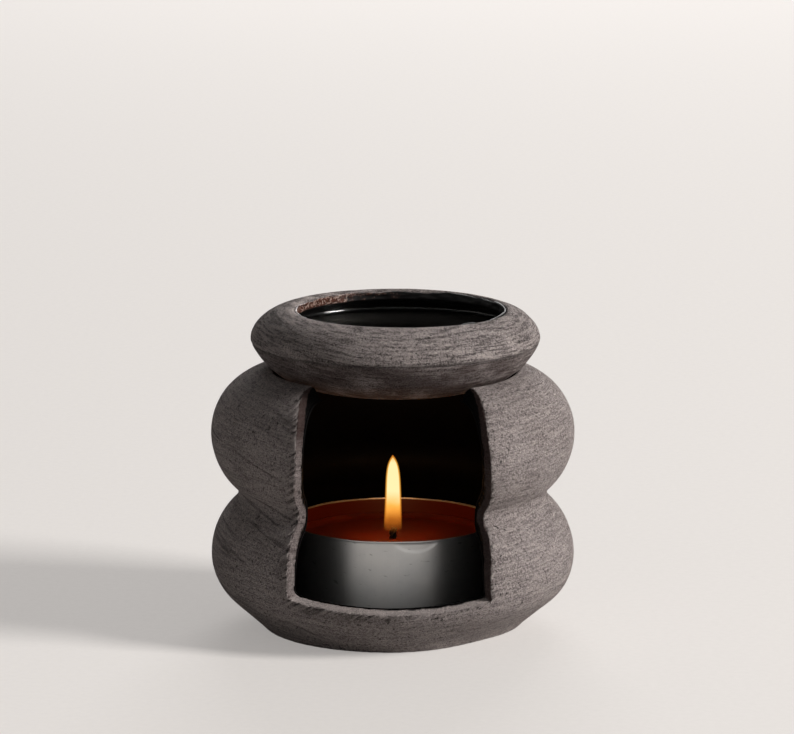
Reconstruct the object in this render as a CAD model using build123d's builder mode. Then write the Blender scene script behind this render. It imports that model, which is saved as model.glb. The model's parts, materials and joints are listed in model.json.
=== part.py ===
from build123d import *
import os
from math import dist, isclose, radians, tan

os.makedirs("parts", exist_ok=True)

# Millimetres. The origin is the middle of the foot, on the table. +Z is up and the doorway faces -Y.
# Radii are built outwards from the tealight, and heights upwards from the table.

# Large tealight
cup_radius = 28.0
cup_height = 24.5
cup_wall = 0.4
cup_corner_radius = 2.0
cup_bead_radius = 0.6
wax_depth_below_rim = 5.6
wick_radius = 0.95
wick_above_wax = 3.5
sustainer_radius = 7.5
sustainer_thickness = 0.3
collar_wall = 0.5
collar_height = 2.4

# Clay body: two thrown bulges on a foot that is trimmed at a slant. The tealight passes through its neck.
clay_wall = 4.0
tealight_clearance = 4.0
crest_land = 1.15
crest_inset = 15.65
groove_depth = 9.3
groove_softness = 3.0
trim_inset = 4.8
foot_margin = 6.6
trim_height = 8.3
lower_bulge_rise = 11.5
groove_rise = 16.4
upper_bulge_rise = 16.5
crest_rise = 17.1

# Doorway: its sides are cut straight towards the body's axis. Each angle is measured from the front.
# The angles stand for the sill, the groove, the upper bulge and the crest, and for halfway between them.
door_left_angles = (35.3, 35.1, 36.4, 32.9, 31.3, 32.2, 40.5)
door_right_angles = (32.7, 32.6, 35.2, 32.8, 31.4, 31.6, 37.6)
sill_height = 12.6
sill_slope = 17.0
door_corner_radius = 1.8

# Dish: a flattened bowl with a sharp crease round its middle, seated on the body's crest. It sits a
# little off the body's axis, and its mouth is a little off its own, because both are thrown by hand.
dish_shift = 0.7
mouth_shift = 1.4
dish_foot_clearance = 7.2
dish_foot_drop = 3.9
seat_depth = 0.6
seat_gap = 0.4
crease_overhang = 5.65
crease_rise = 7.8
shoulder_run = 12.8
shoulder_rise = 8.9

# Hollow of the dish: wider inside than at its mouth, which is cut just outside the top of the shoulder
mouth_inset = 11.1
lip_depth = 3.1
crease_wall = 5.5
bowl_lift = 0.7
dish_foot_wall = 5.8
dish_floor_wall = 4.3
bowl_upper_bulge = 0.9
bowl_lower_bulge = 2.0
fill_depth = 7.0

# Glaze on the inside of the dish and of the body
glaze_thickness = 0.4
bare_floor_margin = 1.5

# How far every cut runs past what it cuts
overrun = 5.0

floor_height = clay_wall
wax_height = floor_height + cup_height - wax_depth_below_rim
bare_floor_radius = cup_radius + bare_floor_margin

foot_radius = cup_radius + foot_margin
neck_radius = cup_radius + tealight_clearance
crest_radius = neck_radius + crest_land
bulge_radius = crest_radius + crest_inset
groove_radius = bulge_radius - groove_depth
trim_radius = bulge_radius - trim_inset
lower_bulge_height = trim_height + lower_bulge_rise
groove_height = lower_bulge_height + groove_rise
upper_bulge_height = groove_height + upper_bulge_rise
crest_height = upper_bulge_height + crest_rise

dish_foot_radius = neck_radius - dish_foot_clearance
crease_radius = crest_radius + crease_overhang
crown_radius = crease_radius - shoulder_run
dish_foot_height = crest_height - dish_foot_drop
crease_height = crest_height + crease_rise
rim_height = crease_height + shoulder_rise
fill_height = rim_height - fill_depth

bowl_shift = dish_shift + mouth_shift
mouth_radius = crease_radius - mouth_inset
bowl_radius = crease_radius - crease_wall
bowl_floor_radius = dish_foot_radius - dish_foot_wall
bowl_height = crease_height + bowl_lift
bowl_floor_height = dish_foot_height + dish_floor_wall

dish_plane = Plane((dish_shift, 0, 0), x_dir=(1, 0, 0), z_dir=(0, -1, 0))
bowl_plane = Plane((bowl_shift, 0, 0), x_dir=(1, 0, 0), z_dir=(0, -1, 0))
dish_axis = Axis((dish_shift, 0, 0), (0, 0, 1))
bowl_axis = Axis((bowl_shift, 0, 0), (0, 0, 1))


def right_half(section, axis_x=0):
    """The half of an upright section that lies on the +X side of its axis, ready to be revolved."""
    return split(section, bisect_by=Plane.YZ.offset(axis_x), keep=Keep.TOP, mode=Mode.PRIVATE)


# Section of the whole body before it is hollowed
with BuildSketch(Plane.XZ) as stove_section:
    with BuildLine():
        Polyline((0, crest_height), (0, 0), (foot_radius, 0), (trim_radius, trim_height))
        TangentArc((bulge_radius, lower_bulge_height), (trim_radius, trim_height), tangent=(0, -1))
        TangentArc((bulge_radius, lower_bulge_height), (groove_radius, groove_height), tangent=(0, 1))
        TangentArc((bulge_radius, upper_bulge_height), (groove_radius, groove_height), tangent=(0, -1))
        TangentArc((bulge_radius, upper_bulge_height), (crest_radius, crest_height), tangent=(0, 1))
        Line((crest_radius, crest_height), (0, crest_height))
    make_face()
    groove_corner = stove_section.vertices().sort_by_distance((groove_radius, groove_height, 0))[0]
    fillet(groove_corner, radius=groove_softness)
    mirror(about=Plane.YZ)


def section_inside(wall):
    """The body's section drawn in by a wall, with plain lines and arcs where the offset leaves other curves."""
    drawn_in = offset(stove_section.sketch, amount=-wall)
    with BuildSketch(Plane.XZ) as section:
        with BuildLine():
            for edge in drawn_in.edges():
                start, middle, end = ((point.X, point.Z) for point in (edge @ 0, edge @ 0.5, edge @ 1))
                if isclose(edge.length, dist(start, end), rel_tol=1e-6):
                    Line(start, end)
                else:
                    ThreePointArc(start, middle, end)
        make_face()
    return section.sketch


chamber_section = section_inside(clay_wall)
bare_chamber_section = section_inside(clay_wall - glaze_thickness)

# Section of the whole dish before it is hollowed. Its underside runs through the seat on the crest.
with BuildSketch(dish_plane) as dish_section:
    with BuildLine():
        Polyline((0, rim_height), (0, dish_foot_height), (dish_foot_radius, dish_foot_height))
        ThreePointArc(
            (dish_foot_radius, dish_foot_height),
            (neck_radius, crest_height - seat_depth),
            (crease_radius, crease_height),
        )
        EllipticalCenterArc((crown_radius, crease_height), shoulder_run, shoulder_rise)
        Line((crown_radius, rim_height), (0, rim_height))
    make_face()
    mirror(about=Plane.YZ)

# Section of the dish's hollow, as it is inside the glaze
with BuildSketch(bowl_plane) as bowl_section:
    with BuildLine():
        Polyline((0, rim_height + overrun), (0, bowl_floor_height), (bowl_floor_radius, bowl_floor_height))
        SagittaArc((bowl_floor_radius, bowl_floor_height), (bowl_radius, bowl_height), -bowl_lower_bulge)
        SagittaArc((bowl_radius, bowl_height), (mouth_radius, rim_height - lip_depth), -bowl_upper_bulge)
        Polyline(
            (mouth_radius, rim_height - lip_depth),
            (mouth_radius, rim_height + overrun),
            (0, rim_height + overrun),
        )
    make_face()
    mirror(about=Plane.YZ)

bare_bowl_section = offset(bowl_section.sketch, amount=glaze_thickness)
seat_section = Pos(0, 0, -seat_gap) * dish_section.sketch


def door_outline(distance):
    """The doorway's outline on an upright plane this far in front of the body's axis."""
    sill_level = sill_height + (bulge_radius - distance) * tan(radians(sill_slope))
    levels = (
        sill_level,
        (sill_level + groove_height) / 2,
        groove_height,
        (groove_height + upper_bulge_height) / 2,
        upper_bulge_height,
        (upper_bulge_height + crest_height) / 2,
        crest_height,
    )
    left = [(-distance * tan(radians(angle)), level) for angle, level in zip(door_left_angles, levels)]
    right = [(distance * tan(radians(angle)), level) for angle, level in zip(door_right_angles, levels)]
    top = crest_height + overrun
    with BuildSketch(Plane.XZ.offset(distance)) as outline:
        with BuildLine():
            Spline(*left)
            Polyline(left[-1], (left[-1][0], top), (right[-1][0], top), right[-1])
            Spline(*reversed(right))
            Line(right[0], left[0])
        make_face()
    return outline.sketch


# Solid of air that the doorway takes out of the wall, from outside the bulges to well inside the neck
door_outer_distance = bulge_radius + overrun
door_inner_distance = neck_radius / 2
with BuildPart() as doorway:
    loft([door_outline(door_outer_distance), door_outline(door_inner_distance)], ruled=True)
    inward_edges = doorway.edges().filter_by_position(
        Axis.Y, -door_outer_distance, -door_inner_distance, (False, False)
    )
    left_corner = inward_edges.group_by(Axis.Z)[0].sort_by(Axis.X)[0]
    fillet(left_corner, radius=door_corner_radius)
# Solid of air in the neck
with BuildPart() as neck:
    with BuildSketch(Plane.XY.offset(crest_height - clay_wall - overrun)):
        Circle(neck_radius)
    extrude(amount=clay_wall + overrun + overrun)

# Black coat on the wall of the chamber. The floor under the candle stays bare.
with BuildPart() as chamber_glaze:
    revolve(right_half(bare_chamber_section), axis=Axis.Z)
    revolve(right_half(chamber_section), axis=Axis.Z, mode=Mode.SUBTRACT)
    with BuildSketch(Plane.XY):
        Circle(bare_floor_radius)
    extrude(amount=floor_height + overrun, mode=Mode.SUBTRACT)
    add(neck.part, mode=Mode.SUBTRACT)
    add(doorway.part, mode=Mode.SUBTRACT)
chamber_glaze.part.label = "chamber_glaze"
export_step(chamber_glaze.part, "parts/chamber_glaze.step")

# Clay body, with the seat for the dish cut into its crest and the bare floor flush with the coat
with BuildPart() as stove_body:
    revolve(right_half(stove_section.sketch), axis=Axis.Z)
    revolve(right_half(seat_section, dish_shift), axis=dish_axis, mode=Mode.SUBTRACT)
    revolve(right_half(bare_chamber_section), axis=Axis.Z, mode=Mode.SUBTRACT)
    with BuildSketch(Plane.XY.offset(floor_height - glaze_thickness)):
        Circle(bare_floor_radius)
    extrude(amount=glaze_thickness)
    add(neck.part, mode=Mode.SUBTRACT)
    add(doorway.part, mode=Mode.SUBTRACT)
stove_body.part.label = "stove_body"
export_step(stove_body.part, "parts/stove_body.step")

# Clay dish
with BuildPart() as oil_dish:
    revolve(right_half(dish_section.sketch, dish_shift), axis=dish_axis)
    revolve(right_half(bare_bowl_section, bowl_shift), axis=bowl_axis, mode=Mode.SUBTRACT)
oil_dish.part.label = "oil_dish"
export_step(oil_dish.part, "parts/oil_dish.step")

# Black coat inside the dish, up to the rim
with BuildPart() as dish_glaze:
    revolve(right_half(bare_bowl_section, bowl_shift), axis=bowl_axis)
    revolve(right_half(dish_section.sketch, dish_shift), axis=dish_axis, mode=Mode.INTERSECT)
    revolve(right_half(bowl_section.sketch, bowl_shift), axis=bowl_axis, mode=Mode.SUBTRACT)
dish_glaze.part.label = "dish_glaze"
export_step(dish_glaze.part, "parts/dish_glaze.step")

# Water and oil that fill the dish to below its lip
with BuildPart() as oil_and_water:
    revolve(right_half(bowl_section.sketch, bowl_shift), axis=bowl_axis)
    split(bisect_by=Plane.XY.offset(fill_height), keep=Keep.BOTTOM)
oil_and_water.part.label = "oil_and_water"
export_step(oil_and_water.part, "parts/oil_and_water.step")

cup_wall_radius = cup_radius - cup_bead_radius
cup_floor_height = floor_height + cup_wall

# Drawn aluminium cup with a rolled bead round its rim
with BuildPart() as candle_cup:
    with BuildSketch(Plane.XY.offset(floor_height)):
        Circle(cup_wall_radius)
    extrude(amount=cup_height - cup_bead_radius)
    fillet(candle_cup.faces().sort_by(Axis.Z)[0].edges(), radius=cup_corner_radius)
    offset(amount=-cup_wall, openings=candle_cup.faces().sort_by(Axis.Z)[-1])
    with BuildSketch(Plane.XZ):
        with Locations((cup_wall_radius, floor_height + cup_height - cup_bead_radius)):
            Circle(cup_bead_radius)
    revolve(axis=Axis.Z)
candle_cup.part.label = "candle_cup"
export_step(candle_cup.part, "parts/candle_cup.step")

# Thin metal plate on the cup's floor, with a collar that grips the wick
with BuildPart() as wick_sustainer:
    with BuildSketch(Plane.XY.offset(cup_floor_height)):
        Circle(sustainer_radius)
    extrude(amount=sustainer_thickness)
    with BuildSketch(Plane.XY.offset(cup_floor_height + sustainer_thickness)):
        Circle(wick_radius + collar_wall)
    extrude(amount=collar_height)
    with BuildSketch(Plane.XY.offset(cup_floor_height)):
        Circle(wick_radius)
    extrude(amount=sustainer_thickness + collar_height, mode=Mode.SUBTRACT)
wick_sustainer.part.label = "wick_sustainer"
export_step(wick_sustainer.part, "parts/wick_sustainer.step")

# Wick, from the cup's floor to above the wax
with BuildPart() as candle_wick:
    with BuildSketch(Plane.XY.offset(cup_floor_height)):
        Circle(wick_radius)
    extrude(amount=wax_height + wick_above_wax - cup_floor_height)
    fillet(candle_wick.faces().sort_by(Axis.Z)[-1].edges(), radius=wick_radius / 2)
candle_wick.part.label = "candle_wick"
export_step(candle_wick.part, "parts/candle_wick.step")

# Wax that fills the cup round the wick and the sustainer
with BuildPart() as candle_wax:
    with BuildSketch(Plane.XY.offset(cup_floor_height)):
        Circle(cup_wall_radius - cup_wall)
    extrude(amount=wax_height - cup_floor_height)
    fillet(candle_wax.faces().sort_by(Axis.Z)[0].edges(), radius=cup_corner_radius - cup_wall)
    add(candle_wick.part, mode=Mode.SUBTRACT)
    add(wick_sustainer.part, mode=Mode.SUBTRACT)
candle_wax.part.label = "candle_wax"
export_step(candle_wax.part, "parts/candle_wax.step")
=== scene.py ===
import bpy
import bmesh
import json
import numpy as np
from itertools import product
from math import cos, hypot, pi, radians, sin
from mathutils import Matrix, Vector
from mathutils.kdtree import KDTree

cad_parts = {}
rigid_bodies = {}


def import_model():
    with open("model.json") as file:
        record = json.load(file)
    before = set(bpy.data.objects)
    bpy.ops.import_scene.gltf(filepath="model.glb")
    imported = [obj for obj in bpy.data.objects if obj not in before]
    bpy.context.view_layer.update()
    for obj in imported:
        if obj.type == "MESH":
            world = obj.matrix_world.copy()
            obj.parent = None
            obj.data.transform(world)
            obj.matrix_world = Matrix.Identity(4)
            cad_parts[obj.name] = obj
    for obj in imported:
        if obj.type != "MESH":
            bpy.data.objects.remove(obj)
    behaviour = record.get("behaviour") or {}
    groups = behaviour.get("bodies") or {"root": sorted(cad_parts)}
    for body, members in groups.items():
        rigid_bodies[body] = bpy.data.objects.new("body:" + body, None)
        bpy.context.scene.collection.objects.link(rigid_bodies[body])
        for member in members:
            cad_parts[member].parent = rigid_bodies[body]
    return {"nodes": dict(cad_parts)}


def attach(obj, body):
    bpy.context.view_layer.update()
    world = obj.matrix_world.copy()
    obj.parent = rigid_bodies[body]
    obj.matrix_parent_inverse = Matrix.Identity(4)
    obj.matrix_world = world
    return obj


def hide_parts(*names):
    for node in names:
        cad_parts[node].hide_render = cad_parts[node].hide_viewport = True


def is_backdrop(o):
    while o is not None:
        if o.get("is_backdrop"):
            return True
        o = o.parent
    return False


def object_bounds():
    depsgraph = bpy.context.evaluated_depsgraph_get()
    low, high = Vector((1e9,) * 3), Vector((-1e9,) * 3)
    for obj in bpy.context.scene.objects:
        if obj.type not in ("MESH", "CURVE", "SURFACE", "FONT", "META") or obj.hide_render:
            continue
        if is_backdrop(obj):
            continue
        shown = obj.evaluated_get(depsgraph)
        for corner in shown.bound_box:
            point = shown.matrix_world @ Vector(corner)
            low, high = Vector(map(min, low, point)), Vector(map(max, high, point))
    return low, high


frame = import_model()
nodes = frame["nodes"]
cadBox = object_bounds()
scene = bpy.context.scene
mm = 0.001
print("frame loaded:", ", ".join(sorted(nodes)))

# The camera stands where the picture was taken from: far off, with a long lens, a little above the rim.
cameraLook = {
    "place": (0.00115, -1.304, 0.3199),
    "pitchDown": 10.85,
    "lens": 225.34,
    "sensor": 36,
    "near": 0.05,
    "far": 50,
}
cameraData = bpy.data.cameras.new("camera")
cameraData.lens = cameraLook["lens"]
cameraData.sensor_width = cameraLook["sensor"]
cameraData.clip_start = cameraLook["near"]
cameraData.clip_end = cameraLook["far"]
camera = bpy.data.objects.new("camera", cameraData)
camera.location = cameraLook["place"]
camera.rotation_euler = (radians(90 - cameraLook["pitchDown"]), 0, 0)
scene.collection.objects.link(camera)
scene.camera = camera
print("camera placed")


# A whole number from 0 to 65535 for each cell of a lattice, the same on every run
def cellDraw(cell, seed):
    key = (cell[:, 0] * 73856093) ^ (cell[:, 1] * 19349663) ^ (cell[:, 2] * 83492791) ^ (seed * 2654435761)
    key = ((key ^ (key >> 13)) * 1274126177) & 0xFFFFFFFF
    return (key ^ (key >> 16)) & 0xFFFF


# Soft lattice noise from -1 to 1. size is the length of one lattice cell, along X, Y and Z.
def lumps(points, size, seed):
    p = points / np.array(size, float)
    cell = np.floor(p).astype(np.int64)
    part = p - cell
    fade = part * part * (3 - 2 * part)
    total = np.zeros(len(p))
    for corner in product((0, 1), repeat=3):
        weight = np.prod(np.where(corner, fade, 1 - fade), axis=1)
        total += weight * (cellDraw(cell + np.array(corner), seed) / 32767.5 - 1)
    return total


# Lumps on lumps, each octave finer and weaker than the one before
def roughLumps(points, size, seed, octaves):
    total, strength, span = 0, 1.0, np.array(size, float)
    for octave in range(octaves):
        total = total + strength * lumps(points, span, seed + octave)
        strength *= 0.55
        span = span / 2.03
    return total


# Round pores: one in some cells of the lattice. Gives 0 away from them and 1 at their middles.
def pores(points, spacing, sizes, share, seed):
    p = points / spacing
    home = np.floor(p).astype(np.int64)
    deepest = np.zeros(len(p))
    for step in product((-1, 0, 1), repeat=3):
        c = home + np.array(step)
        draws = [cellDraw(c, seed + 7 * k) / 65535 for k in range(5)]
        middle = c + np.stack(draws[:3], axis=1)
        radius = (sizes[0] + (sizes[1] - sizes[0]) * draws[3] ** 2) / spacing
        gap = np.linalg.norm(p - middle, axis=1) / radius
        deepest = np.maximum(deepest, np.where(draws[4] < share, np.clip(1 - gap * gap, 0, 1), 0))
    return deepest


def smoothStep(value, low, high):
    t = np.clip((value - low) / (high - low), 0, 1)
    return t * t * (3 - 2 * t)


def bell(distance, width):
    return np.exp(-((distance / width) ** 2))


# Noise from -1 to 1, or to a wider limit, laid on one side: from 0 to 1
def oneSided(value, limit=1.0):
    return 0.5 + 0.5 * np.clip(value, -limit, limit)


# One row for each vertex of a mesh: its place, or its normal
def readPoints(mesh, what="co"):
    rows = np.zeros(len(mesh.vertices) * 3)
    mesh.vertices.foreach_get(what, rows)
    return rows.reshape(-1, 3)


def writePoints(mesh, points):
    mesh.vertices.foreach_set("co", points.ravel())
    mesh.update()


def radiusOf(points, axisX=0.0):
    return np.hypot(points[:, 0] - axisX, points[:, 1])


# A share from 0 to 1 at each point of a mesh, for its finish to read
def writeShare(mesh, name, values):
    layer = mesh.attributes.new(name, "FLOAT", "POINT")
    layer.data.foreach_set("value", np.clip(values, 0, 1).astype(np.float32))


# A copy of a CAD node's mesh with its doubled corners joined, and points along its sharp outward edges
def weldedCopy(nodeName):
    mesh = nodes[nodeName].data.copy()
    bm = bmesh.new()
    bm.from_mesh(mesh)
    bmesh.ops.remove_doubles(bm, verts=bm.verts, dist=1e-6)
    sharp = []
    for edge in bm.edges:
        if len(edge.link_faces) == 2 and edge.is_convex and edge.calc_face_angle() > 0.6:
            a, b = edge.verts[0].co, edge.verts[1].co
            steps = max(1, int((b - a).length / (0.3 * mm)))
            sharp += [a.lerp(b, k / steps) for k in range(steps + 1)]
    bm.to_mesh(mesh)
    bm.free()
    mesh.materials.clear()
    return mesh, np.array(sharp)


def shadeSmooth(mesh):
    mesh.polygons.foreach_set("use_smooth", [True] * len(mesh.polygons))


# Rebuilds a closed mesh with small even faces, so that its surface can be worked like clay
def evenMesh(mesh, name, grid):
    rough = bpy.data.objects.new("rough", mesh)
    scene.collection.objects.link(rough)
    even = rough.modifiers.new("even", "REMESH")
    even.mode = "VOXEL"
    even.voxel_size = grid
    depsgraph = bpy.context.evaluated_depsgraph_get()
    made = bpy.data.meshes.new_from_object(rough.evaluated_get(depsgraph))
    made.name = name
    bpy.data.objects.remove(rough)
    shadeSmooth(made)
    return made


def distanceTo(points, targets):
    tree = KDTree(len(targets))
    for i, target in enumerate(targets):
        tree.insert(target, i)
    tree.balance()
    return np.array([tree.find(p)[2] for p in points])


# Smooths only where share is above 0, as a wet sponge rounds an edge
def sponge(mesh, points, share, times):
    edges = np.zeros(len(mesh.edges) * 2, np.int64)
    mesh.edges.foreach_get("vertices", edges)
    a, b = edges.reshape(-1, 2).T
    near = np.flatnonzero((share[a] > 0) | (share[b] > 0))
    a, b = a[near], b[near]
    count = np.bincount(a, minlength=len(points)) + np.bincount(b, minlength=len(points))
    for _ in range(times):
        total = np.zeros_like(points)
        for axis in range(3):
            total[:, axis] += np.bincount(a, weights=points[b, axis], minlength=len(points))
            total[:, axis] += np.bincount(b, weights=points[a, axis], minlength=len(points))
        mean = total / np.maximum(count, 1)[:, None]
        points = points + (mean - points) * (0.6 * share * (count > 0))[:, None]
    return points


def newPiece(name, mesh, finish, body):
    piece = bpy.data.objects.new(name, mesh)
    scene.collection.objects.link(piece)
    mesh.materials.clear()
    mesh.materials.append(finish)
    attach(piece, body)
    return piece


# Splits the faces near some points once more, so that they can carry finer work
def refine(mesh, targets, reach):
    near = distanceTo(readPoints(mesh), targets) < reach
    bm = bmesh.new()
    bm.from_mesh(mesh)
    bm.verts.ensure_lookup_table()
    edges = [e for e in bm.edges if near[e.verts[0].index] and near[e.verts[1].index]]
    bmesh.ops.subdivide_edges(bm, edges=edges, cuts=1, use_grid_fill=True)
    for face in bm.faces:
        face.smooth = True
    bm.to_mesh(mesh)
    bm.free()


# Turns a profile of (radius, height) points about an upright axis. Points on the axis make one vertex.
def turnedMesh(name, profile, turns, axisX=0.0):
    verts, rings, faces = [], [], []
    for radius, height in profile:
        if radius < 1e-9:
            rings.append([len(verts)] * turns)
            verts.append((axisX, 0, height))
        else:
            rings.append(list(range(len(verts), len(verts) + turns)))
            for k in range(turns):
                angle = 2 * pi * k / turns
                verts.append((axisX + radius * cos(angle), radius * sin(angle), height))
    for low, high in zip(rings, rings[1:]):
        for k in range(turns):
            m = (k + 1) % turns
            corners = [low[k], low[m], high[m], high[k]]
            corners = [v for i, v in enumerate(corners) if v != corners[i - 1]]
            if len(corners) > 2:
                faces.append(corners)
    mesh = bpy.data.meshes.new(name)
    mesh.from_pydata(verts, [], faces)
    shadeSmooth(mesh)
    mesh.update()
    return mesh


def arcPoints(centre, radius, start, end, count):
    angles = [radians(start + (end - start) * k / (count - 1)) for k in range(count)]
    return [(centre[0] + radius * cos(a), centre[1] + radius * sin(a)) for a in angles]


# An arc from start to end whose middle stands out by bow, to the right of the way there
def bowedLine(start, end, bow, count):
    (x0, y0), (x1, y1) = start, end
    length = hypot(x1 - x0, y1 - y0)
    radius = (length * length / 4 + bow * bow) / (2 * bow)
    nx, ny = (y1 - y0) / length, (x0 - x1) / length
    cx, cy = (x0 + x1) / 2 + nx * (bow - radius), (y0 + y1) / 2 + ny * (bow - radius)
    first = np.arctan2(y0 - cy, x0 - cx)
    turn = 2 * np.arcsin(length / 2 / radius)
    angles = [first + turn * k / (count - 1) for k in range(count)]
    return [(cx + radius * cos(a), cy + radius * sin(a)) for a in angles]


# Points along a straight line, without its end
def spaced(start, end, count):
    parts = [k / count for k in range(count)]
    return [(start[0] + (end[0] - start[0]) * t, start[1] + (end[1] - start[1]) * t) for t in parts]


# Helpers for materials
def newFinish(name):
    finish = bpy.data.materials.new(name)
    finish.use_nodes = True
    tree = finish.node_tree
    tree.nodes.clear()
    output = tree.nodes.new("ShaderNodeOutputMaterial")
    shader = tree.nodes.new("ShaderNodeBsdfPrincipled")
    tree.links.new(shader.outputs[0], output.inputs["Surface"])
    return finish, tree, shader


def link(tree, source, target):
    tree.links.new(source, target)


# Links the tone, roughness and relief of a finish to its shader
def dress(tree, shader, tone, roughness, relief):
    link(tree, tone, shader.inputs["Base Color"])
    link(tree, roughness, shader.inputs["Roughness"])
    link(tree, relief, shader.inputs["Normal"])


# Gives a socket a plain value, or a link from another node
def feed(tree, socket, value):
    if isinstance(value, (int, float, tuple)):
        socket.default_value = value
    else:
        link(tree, value, socket)


def objectPlace(tree):
    return tree.nodes.new("ShaderNodeTexCoord").outputs["Object"]


def alongAxis(tree, place, axis):
    node = tree.nodes.new("ShaderNodeSeparateXYZ")
    link(tree, place, node.inputs[0])
    return node.outputs[axis]


def math(tree, operation, a, b, clamp=False):
    node = tree.nodes.new("ShaderNodeMath")
    node.operation = operation
    node.use_clamp = clamp
    feed(tree, node.inputs[0], a)
    feed(tree, node.inputs[1], b)
    return node.outputs[0]


def times(tree, a, b):
    return math(tree, "MULTIPLY", a, b)


def vectorMath(tree, operation, *values):
    node = tree.nodes.new("ShaderNodeVectorMath")
    node.operation = operation
    for socket, value in zip(node.inputs, values):
        feed(tree, socket, value)
    return node.outputs["Value"] if operation == "DOT_PRODUCT" else node.outputs[0]


def noise(tree, place, scale, detail, roughness):
    node = tree.nodes.new("ShaderNodeTexNoise")
    node.inputs["Scale"].default_value = scale
    node.inputs["Detail"].default_value = detail
    node.inputs["Roughness"].default_value = roughness
    link(tree, place, node.inputs["Vector"])
    return node.outputs["Fac"]


def spread(tree, value, low, high, toLow=0.0, toHigh=1.0):
    node = tree.nodes.new("ShaderNodeMapRange")
    for name, number in zip(("From Min", "From Max", "To Min", "To Max"), (low, high, toLow, toHigh)):
        node.inputs[name].default_value = number
    link(tree, value, node.inputs["Value"])
    return node.outputs[0]


def mixColours(tree, share, a, b):
    node = tree.nodes.new("ShaderNodeMix")
    node.data_type = "RGBA"
    for k, value in ((0, share), (6, a), (7, b)):
        feed(tree, node.inputs[k], value)
    return node.outputs[2]


def mixValues(tree, share, a, b):
    node = tree.nodes.new("ShaderNodeMix")
    for k, value in ((0, share), (2, a), (3, b)):
        feed(tree, node.inputs[k], value)
    return node.outputs[0]


def bump(tree, height, strength, distance, under=None):
    node = tree.nodes.new("ShaderNodeBump")
    node.inputs["Strength"].default_value = strength
    node.inputs["Distance"].default_value = distance
    link(tree, height, node.inputs["Height"])
    if under is not None:
        link(tree, under, node.inputs["Normal"])
    return node.outputs[0]


# The share that writeShare left on the mesh
def painted(tree, name):
    node = tree.nodes.new("ShaderNodeAttribute")
    node.attribute_name = name
    return node.outputs["Fac"]


# Eight-bit screen colour, as it should render, to a shader colour
def colour(*levels):
    return tuple(((v / 255 + 0.055) / 1.055) ** 2.4 if v > 10 else v / 255 / 12.92 for v in levels) + (1.0,)


# Noise drawn out into brush marks that run round the pot: few cells round it, many up and down
def brushNoise(tree, place, cells, lean, detail, roughness):
    around, across = cells
    flat = vectorMath(tree, "NORMALIZE", vectorMath(tree, "MULTIPLY", place, (1, 1, 0)))
    wide = vectorMath(tree, "MULTIPLY", flat, (around, around, 0))
    up = times(tree, vectorMath(tree, "DOT_PRODUCT", place, (lean, 0, 1)), across)
    tall = tree.nodes.new("ShaderNodeCombineXYZ")
    link(tree, up, tall.inputs["Z"])
    return noise(tree, vectorMath(tree, "ADD", wide, tall.outputs[0]), 1.0, detail, roughness)


clayLook = {
    "pale": colour(190, 178, 176),
    "dark": colour(166, 154, 151),
    "stroke": colour(68, 61, 60),
    # painted shade, warmed red as by the candle's light
    "paintedShade": colour(52, 29, 24),
    "pit": colour(40, 34, 32),
    "cut": colour(214, 201, 197),
    "glaze": colour(7, 6, 6),
    "patchScale": 42,
    "holeScale": 1050,
    "grainScale": 1500,
    "sandScale": 3800,
    # the brush's marks: how many round the pot and how many up it, in noise cells
    "fineRight": (6.0, 2000),
    "fineLeft": (5.0, 1900),
    "broad": (2.6, 420),
    "scores": (1.6, 560),
    "slanted": (7.0, 1500),
    "slant": -0.75,
}


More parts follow.
